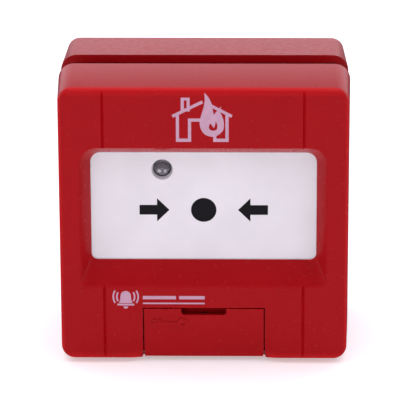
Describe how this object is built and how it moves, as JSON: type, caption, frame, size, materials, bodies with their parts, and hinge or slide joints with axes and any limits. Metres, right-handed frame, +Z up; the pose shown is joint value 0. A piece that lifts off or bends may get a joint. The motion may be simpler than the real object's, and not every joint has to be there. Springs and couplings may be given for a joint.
{
  "type": "manual call point",
  "caption": "Square red fire alarm call point with a white press plate, a key flap and a wall box.",
  "frame": {"origin": "middle of the wall face of the back box, midway between the two wall fixing slots", "axes": "+X to the right seen from the front, +Z up, and the front faces -Y; the wall is the plane y = 0"},
  "size_m": [0.09, 0.0514, 0.0912],
  "materials": {
    "red_box": "moulded red, fine satin grain",
    "red_cover": "moulded red, fine satin grain",
    "red_flap": "moulded red, fine satin grain",
    "red_chassis": "moulded red, matt",
    "black_rubber": "soft matt",
    "steel_screws": "bright zinc plate",
    "green_board": "solder mask",
    "green_terminal": "moulded green",
    "black_plastic": "moulded black",
    "blue_sleeve": "shrink sleeve",
    "clear_dome": "water-clear epoxy",
    "red_plunger": "moulded red",
    "grey_frame": "moulded light grey",
    "white_plate": "moulded white, satin",
    "steel_pin": "drawn steel",
    "spring_steel": "drawn spring wire",
    "yellow_flag": "moulded yellow"
  },
  "bodies": {
    "housing": {"back_box": "red_box", "cable_grommet": "black_rubber", "chassis": "red_chassis", "chassis_screws": "steel_screws", "pcb": "green_board", "pcb_screws": "steel_screws", "terminal_block": "green_terminal", "terminal_screws": "steel_screws", "controller_chip": "black_plastic", "capacitor": "blue_sleeve", "chip_resistors": "black_plastic", "led_spacer": "grey_frame", "led": "clear_dome", "switch_body": "black_plastic", "mechanism_frame": "grey_frame", "frame_screws": "steel_screws", "plate_pin": "steel_pin", "plate_springs": "spring_steel", "flag_springs": "spring_steel", "front_cover": "red_cover", "cover_screws": "steel_screws", "flap_pin": "steel_pin"},
    "flap": {"key_flap": "red_flap"},
    "plate": {"operating_plate": "white_plate"},
    "flag": {"alarm_flag": "yellow_flag"},
    "barrel": {"reset_barrel": "black_plastic"},
    "plunger": {"switch_plunger": "red_plunger"}
  },
  "joints": [
    {"name": "plate_press", "type": "hinge", "parent": "housing", "child": "plate", "pos_m": [0, -0.0427, 0.0222], "axis": [1, 0, 0], "range_deg": [0, 7], "stiffness_Nm_per_rad": 0.15, "springref_deg": -2.86, "deforming": ["plate_springs"]},
    {"name": "flag_rise", "type": "slide", "parent": "housing", "child": "flag", "axis": [0, 0, 1], "range_m": [0, 0.01], "deforming": ["flag_springs"]},
    {"name": "barrel_turn", "type": "hinge", "parent": "housing", "child": "barrel", "pos_m": [0, -0.0465, -0.034], "axis": [0, -1, 0], "range_deg": [0, 88]},
    {"name": "plunger_travel", "type": "slide", "parent": "housing", "child": "plunger", "axis": [0, 1, 0], "range_m": [0, 0.0013]},
    {"name": "flap_hinge", "type": "hinge", "parent": "housing", "child": "flap", "pos_m": [0, -0.0481, -0.0429], "axis": [1, 0, 0], "range_deg": [0, 110]}
  ],
  "couplings": [
    {"joint": "flag_rise", "follows": "plate_press", "m_per_rad": 0.081851},
    {"joint": "barrel_turn", "follows": "plate_press", "ratio": 12.571},
    {"joint": "plunger_travel", "follows": "plate_press", "m_per_rad": 0.010641}
  ]
}
